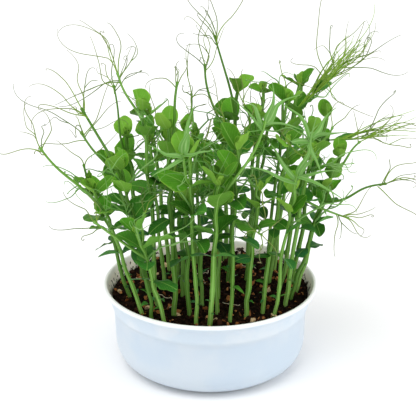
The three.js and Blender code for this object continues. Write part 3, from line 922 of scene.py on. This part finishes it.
def add_chip(body, draw, centre, size, tone):
    """A small angular lump: an uneven double cone."""
    turn = Quaternion(scattered(draw, 1).normalized(), draw.uniform(0, 6))
    shape = (draw.uniform(0.8, 1.5), draw.uniform(0.5, 1), draw.uniform(0.35, 0.75))
    points = []
    for height, radius in CHIP_SECTION:
        for j in range(CHIP_SIDES if radius else 1):
            angle = 2 * pi * j / CHIP_SIDES + draw.uniform(-0.3, 0.3)
            out = radius * draw.uniform(0.75, 1.2)
            corner = (cos(angle) * out, sin(angle) * out, height)
            local = Vector(a * b * size / 2 for a, b in zip(corner, shape))
            points.append(body.point(centre + turn @ local, tone=tone))
    bottom, *girdle, top = points
    join_rings(body, [girdle[:CHIP_SIDES], girdle[CHIP_SIDES:]], bottom, top)


def make_chips(material):
    """Crumbs and chips of bark on the soil: mostly dark, some rusty, a few cream."""
    draw = random.Random(CHIP_SEED)
    body = Body()
    for _ in range(CHIP_COUNT):
        x, y = soil_spot(draw, CHIP_REACH)
        large = draw.random() < LARGE_CHIPS
        size = draw.uniform(*(LARGE_CHIP if large else SMALL_CHIP))
        kind = draw.random() + (0.4 if large else 0)
        if kind < 0.9:
            tone = draw.uniform(0, 0.35)
        else:
            tone = draw.uniform(0.45, 0.85) if kind < 1.3 else 1
        add_chip(body, draw, Vector((x, y, soil_height(x, y) + size * 0.1)), size, tone)
    body.make("bark_chips", [material], sharp_degrees=25)


def make_threads(material):
    """Pale root threads lying on the soil."""
    draw = random.Random(THREAD_SEED)
    body = Body()
    for _ in range(THREAD_COUNT):
        x, y = soil_spot(draw, THREAD_REACH)
        direction = draw.uniform(0, 2 * pi)
        path = []
        for _ in range(THREAD_STEPS):
            path.append(Vector((x, y, soil_height(x, y) + 0.5)))
            direction += draw.uniform(-0.5, 0.5)
            x += THREAD_STEP * cos(direction)
            y += THREAD_STEP * sin(direction)
        add_tube(body, path, [THREAD_RADIUS] * THREAD_STEPS, sides=6, paint=0)
    body.make("root_threads", [material])


# ---- materials ----
class Paint:
    """A material under construction: its node tree and its Principled shader."""

    def __init__(self, name, roughness, specular=0.5):
        self.material = bpy.data.materials.new(name)
        self.material.use_nodes = True
        self.tree = self.material.node_tree
        self.shader = self.tree.nodes["Principled BSDF"]
        self.shader.inputs["Roughness"].default_value = roughness
        self.shader.inputs["Specular IOR Level"].default_value = specular

    def node(self, kind, **settings):
        made = self.tree.nodes.new(kind)
        for key, value in settings.items():
            setattr(made, key, value)
        return made

    def feed(self, socket, value):
        if isinstance(value, bpy.types.NodeSocket):
            self.tree.links.new(value, socket)
        else:
            socket.default_value = value

    def sum(self, operation, a, b=0.0, clamp=False):
        made = self.node("ShaderNodeMath", operation=operation, use_clamp=clamp)
        self.feed(made.inputs[0], a)
        self.feed(made.inputs[1], b)
        return made.outputs[0]

    def spread(self, value, low, high, to_low=0.0, to_high=1.0):
        made = self.node("ShaderNodeMapRange", interpolation_type="SMOOTHSTEP")
        for socket, number in zip(made.inputs, (value, low, high, to_low, to_high)):
            self.feed(socket, number)
        return made.outputs[0]

    def mark(self, name):
        return self.node("ShaderNodeAttribute", attribute_name=name).outputs["Fac"]

    def by(self, name, *limits):
        return self.spread(self.mark(name), *limits)

    def product(self, a, b):
        return self.sum("MULTIPLY", a, b)

    def split(self, vector):
        made = self.node("ShaderNodeSeparateXYZ")
        self.feed(made.inputs[0], vector)
        return made.outputs

    def place(self):
        return self.split(self.node("ShaderNodeUVMap", uv_map="place").outputs[0])[:2]

    def spot(self):
        return self.node("ShaderNodeTexCoord").outputs["Object"]

    def noise(self, scale, detail=3.0, vector=None):
        made = self.node("ShaderNodeTexNoise")
        made.inputs["Scale"].default_value = scale
        made.inputs["Detail"].default_value = detail
        self.feed(made.inputs["Vector"], self.spot() if vector is None else vector)
        return made.outputs["Fac"]

    def ramp(self, value, stops):
        made = self.node("ShaderNodeValToRGB")
        elements = made.color_ramp.elements
        while len(elements) < len(stops):
            elements.new(0.5)
        for element, (position, colour) in zip(elements, stops):
            element.position = position
            element.color = (*colour, 1)
        self.feed(made.inputs[0], value)
        return made.outputs[0]

    def mix(self, share, a, b):
        made = self.node("ShaderNodeMix", data_type="RGBA")
        self.feed(made.inputs[0], share)
        for socket, value in ((made.inputs[6], a), (made.inputs[7], b)):
            self.feed(socket, value if isinstance(value, bpy.types.NodeSocket) else (*value, 1))
        return made.outputs[2]

    def colour(self, value):
        self.feed(self.shader.inputs["Base Color"], value)

    def bump(self, height, strength, distance_mm):
        made = self.node("ShaderNodeBump")
        made.inputs["Strength"].default_value = strength
        made.inputs["Distance"].default_value = distance_mm * MM
        self.feed(made.inputs["Height"], height)
        self.feed(self.shader.inputs["Normal"], made.outputs[0])


def leaf_paint(name, young, middle, old, vein, margin, roughness):
    """A leaf with a pale midrib, slanting side veins and a paler margin that also carries a painted highlight
    on young leaves, greener or bluer with its age mark, which on low leaves also holds painted shade.
    """
    paint = Paint(name, roughness, specular=0.04)
    u, v = paint.place()
    across = paint.sum("ABSOLUTE", paint.sum("SUBTRACT", v, 0.5))
    midrib = paint.spread(across, 0.004, 0.02, 1, 0)
    slant = paint.sum("SUBTRACT", paint.product(u, 7.0), paint.product(across, 9.0))
    wobble = paint.product(paint.noise(160, 1), 0.5)
    cycle = paint.sum("FRACT", paint.sum("ADD", slant, wobble))
    distance = paint.sum("ABSOLUTE", paint.sum("SUBTRACT", cycle, 0.5))
    side_vein = paint.spread(distance, 0.0, 0.1, 0.45, 0)
    net = paint.spread(paint.noise(900, 2), 0.52, 0.62, 0, 0.14)
    veins = paint.sum("ADD", paint.sum("MAXIMUM", midrib, side_vein), net, clamp=True)
    dark = tuple(channel * 0.5 for channel in middle)
    shade = paint.ramp(paint.mark("age"), [(0.0, young), (0.45, middle), (1.0, old)])
    blotched = paint.mix(paint.spread(paint.noise(110, 3), 0.3, 0.7, 0, 0.35), shade, dark)
    dimmed = paint.mix(paint.by("tone", 0.6, 0, 0, 0.8), blotched, dark)
    # High for young leaves and for leaves high in the stand that carry no painted shade; it sets how strong
    # the margin's painted highlight is.
    young_and_lit = paint.by("age", 0.3, 1.0, 0.75, 0.15)
    lift = paint.product(paint.by("tone", 0.6, 1, 0, 0.75), young_and_lit)
    lifted = paint.mix(lift, dimmed, young)
    veined = paint.mix(paint.product(veins, 0.45), lifted, vein)
    # The margin: a paler edge, with a painted highlight along it on young leaves high in the stand, fading
    # with age.
    rim = paint.product(paint.by("edge", 0.88, 1.0, 0, 0.6), young_and_lit)
    paint.colour(paint.mix(rim, paint.mix(paint.product(midrib, 0.5), veined, vein), margin))
    paint.bump(veins, 0.35, -0.25)
    return paint.material


def streaked(paint, around_scale, along_scale):
    """Noise drawn out along a tube, different on each tube."""
    around, along = paint.place()
    stretch = paint.node("ShaderNodeCombineXYZ")
    paint.feed(stretch.inputs[0], paint.product(around, around_scale))
    paint.feed(stretch.inputs[1], paint.product(along, along_scale))
    paint.feed(stretch.inputs[2], paint.product(paint.mark("tone"), 20.0))
    return paint.noise(1.0, 3, stretch.outputs[0])


def stem_paint():
    """Light green with pale ridges and long fine streaks."""
    paint = Paint("pea_stem", 0.42, specular=0.04)
    streaks = streaked(paint, 9.0, 0.35)
    shade = paint.ramp(paint.mark("age"), [
        (0.0, (0.10, 0.26, 0.015)), (0.4, (0.085, 0.24, 0.012)), (0.8, (0.095, 0.24, 0.02)),
        (1.0, (0.15, 0.29, 0.04)),
    ])
    ridged = paint.mix(paint.by("edge", 0.1, 1.0, 0, 0.44), shade, (0.35, 0.60, 0.19))
    streaky = paint.mix(paint.spread(streaks, 0.42, 0.62, 0, 0.42), ridged, (0.28, 0.53, 0.14))
    paint.colour(paint.mix(paint.by("tone", 0.1, 1, 0, 0.65), streaky, (0.04, 0.125, 0.012)))
    paint.bump(streaks, 0.3, 0.25)
    return paint.material


def tendril_paint():
    """Fresh green at the root, yellower or greyer at the tip."""
    paint = Paint("pea_tendril", 0.5, specular=0.1)
    shade = paint.ramp(paint.mark("age"), [
        (0.0, (0.20, 0.35, 0.03)), (0.3, (0.18, 0.25, 0.05)), (1.0, (0.16, 0.18, 0.08)),
    ])
    toned = paint.mix(paint.by("tone", 0.4, 1, 0, 0.6), shade, (0.07, 0.13, 0.04))
    paint.colour(paint.mix(paint.by("tone", 0.35, 0, 0, 0.85), toned, (0.25, 0.45, 0.05)))
    paint.bump(paint.noise(700, 2), 0.15, 0.1)
    return paint.material


def arm_paint():
    """The broad arms' greyish bloom over green, with fine lengthwise streaks."""
    paint = Paint("pea_arm", 0.5, specular=0.1)
    bloom = paint.spread(streaked(paint, 12.0, 0.3), 0.35, 0.7, 0.1, 0.7)
    body = paint.mix(bloom, (0.11, 0.29, 0.045), (0.19, 0.37, 0.115))
    paint.colour(paint.mix(paint.by("edge", 0.4, 1.0, 0, 0.5), body, (0.30, 0.49, 0.17)))
    paint.bump(bloom, 0.3, 0.2)
    return paint.material


def tray_paint():
    """Bluish white moulded plastic, with a lighter collar and a whiter lip painted as highlight where they
    face the light from above, and inside painted near-white cream, brighter than the outside, as painted
    light against the tray's shade, with specks of soil. Its heights are in metres."""
    paint = Paint("white_moulded_plastic", 0.34, specular=0.35)
    height = paint.split(paint.spot())["Z"]
    cloud = paint.spread(paint.noise(22, 4), 0.4, 0.62)
    body = paint.mix(cloud, (0.58, 0.65, 0.72), (0.53, 0.62, 0.715))
    # The collar band is painted lighter than the body below it: painted light where the flare faces up to the
    # light, mottled by drift.
    drift = paint.spread(paint.noise(38, 4), 0.42, 0.6)
    lit_collar_colour = paint.mix(drift, (0.60, 0.69, 0.78), (0.67, 0.73, 0.79))
    collar = paint.mix(paint.spread(height, 0.044, 0.050), body, lit_collar_colour)
    # The lip is painted whiter still: a painted highlight along its top.
    lit_outside = paint.mix(paint.spread(height, 0.0620, 0.0638), collar, (0.86, 0.88, 0.86))
    splashed = paint.sum("ADD", paint.noise(330, 5), paint.spread(height, 0.0625, 0.0590, 0, 0.09))
    specks = paint.spread(splashed, 0.64, 0.69)
    low = paint.spread(height, 0.0640, 0.0600)
    # The inner wall is painted near white, far brighter than the plastic outside: painted light against the
    # shade inside the tray, warmer towards the soil.
    wall = paint.mix(low, (0.96, 0.94, 0.88), (0.98, 0.90, 0.80))
    dirty = paint.mix(paint.product(specks, low), wall, (0.05, 0.03, 0.02))
    paint.colour(paint.mix(paint.mark("edge"), lit_outside, dirty))
    paint.bump(paint.noise(60, 2), 0.05, 0.3)
    return paint.material


def soil_paint():
    paint = Paint("potting_mix", 0.92, specular=0.03)
    crumb = paint.noise(450, 5)
    dark = paint.ramp(crumb, [
        (0.35, (0.003, 0.002, 0.001)), (0.58, (0.011, 0.006, 0.004)), (0.75, (0.055, 0.025, 0.014)),
    ])
    patch = paint.spread(paint.noise(90, 3), 0.55, 0.8, 0, 0.5)
    paint.colour(paint.mix(patch, dark, (0.035, 0.016, 0.008)))
    paint.bump(crumb, 1.0, 1.5)
    return paint.material


def chip_paint():
    paint = Paint("bark", 0.85, specular=0.05)
    shade = paint.ramp(paint.mark("tone"), [
        (0.0, (0.010, 0.005, 0.003)), (0.35, (0.04, 0.015, 0.007)), (0.5, (0.20, 0.070, 0.02)),
        (0.8, (0.42, 0.18, 0.06)), (1.0, (0.68, 0.50, 0.28)),
    ])
    grain = paint.noise(600, 4)
    paint.colour(paint.mix(paint.spread(grain, 0.4, 0.7, 0, 0.5), shade, (0.03, 0.015, 0.01)))
    paint.bump(grain, 0.6, 0.5)
    return paint.material


def thread_paint():
    paint = Paint("root_thread", 0.7)
    paint.colour(paint.ramp(paint.noise(300, 2), [(0.3, (0.45, 0.36, 0.22)), (0.7, (0.62, 0.56, 0.42))]))
    return paint.material


# ---- stage ----
CAMERA_DISTANCE = 900
CAMERA_ELEVATION = 24.5  # of the camera, as seen from the middle of the rim
CAMERA_TILT = 21.09  # below level
CAMERA_SIDESTEP = -1.6
FIELD_OF_VIEW = 19.72
FLOOR_REACH = 6.0  # metres each way
FLOOR_HEIGHT = -0.2
SKY_STRENGTH = 0.84
# For each light: its strength, its softness in degrees across, and how it is turned in degrees: leaning
# from overhead towards the front, then round towards the left or right.
LIGHTS = {
    "key": (0.95, 30, (28, 0, -25)),
    "left": (0.56, 50, (68, 0, -80)),
    "right": (1.0, 50, (67, 0, 76)),
}


def make_floor():
    mesh = bpy.data.meshes.new("floor")
    corners = [(-1, -1), (1, -1), (1, 1), (-1, 1)]
    points = [(x * FLOOR_REACH, y * FLOOR_REACH, FLOOR_HEIGHT * MM) for x, y in corners]
    mesh.from_pydata(points, [], [(0, 1, 2, 3)])
    floor = put_in_scene("floor", mesh)
    paint = Paint("pale_floor", 0.9, specular=0.1)
    paint.colour((0.93, 0.93, 0.93, 1))
    mesh.materials.append(paint.material)


def make_lights():
    world = bpy.data.worlds.new("studio")
    world.use_nodes = True
    background = world.node_tree.nodes["Background"]
    background.inputs["Color"].default_value = (1, 1, 1, 1)
    background.inputs["Strength"].default_value = SKY_STRENGTH
    bpy.context.scene.world = world
    for name, (strength, softness, turns) in LIGHTS.items():
        light = bpy.data.lights.new(name, "SUN")
        light.energy = strength
        light.angle = radians(softness)
        put_in_scene(name, light).rotation_euler = [radians(turn) for turn in turns]


def make_camera():
    lens = bpy.data.cameras.new("camera")
    lens.angle = radians(FIELD_OF_VIEW)
    camera = put_in_scene("camera", lens)
    elevation = radians(CAMERA_ELEVATION)
    back = -cos(elevation) * CAMERA_DISTANCE
    up = TRAY_HEIGHT + sin(elevation) * CAMERA_DISTANCE
    camera.location = Vector((CAMERA_SIDESTEP, back, up)) * MM
    camera.rotation_euler = (radians(90 - CAMERA_TILT), 0, 0)
    bpy.context.scene.camera = camera
    bpy.context.scene.view_settings.view_transform = "Standard"


# ---- assembly ----
make_camera()
make_floor()
make_lights()
make_tray(tray_paint())
make_soil(soil_paint())
make_chips(chip_paint())
make_threads(thread_paint())

shoot_paints = [
    stem_paint(),
    # Each leaf's margin colour is both its paler edge and the painted highlight along it.
    leaf_paint(
        "leaf_top", young=(0.20, 0.44, 0.045), middle=(0.07, 0.30, 0.012), old=(0.017, 0.125, 0.038),
        vein=(0.24, 0.45, 0.09), margin=(0.38, 0.56, 0.07), roughness=0.36,
    ),
    leaf_paint(
        "leaf_underside", young=(0.26, 0.49, 0.06), middle=(0.135, 0.37, 0.04), old=(0.055, 0.21, 0.06),
        vein=(0.28, 0.48, 0.12), margin=(0.31, 0.48, 0.10), roughness=0.5,
    ),
    tendril_paint(),
    arm_paint(),
]
for number, row in enumerate(SHOOTS, 1):
    make_shoot(number, row, shoot_paints)
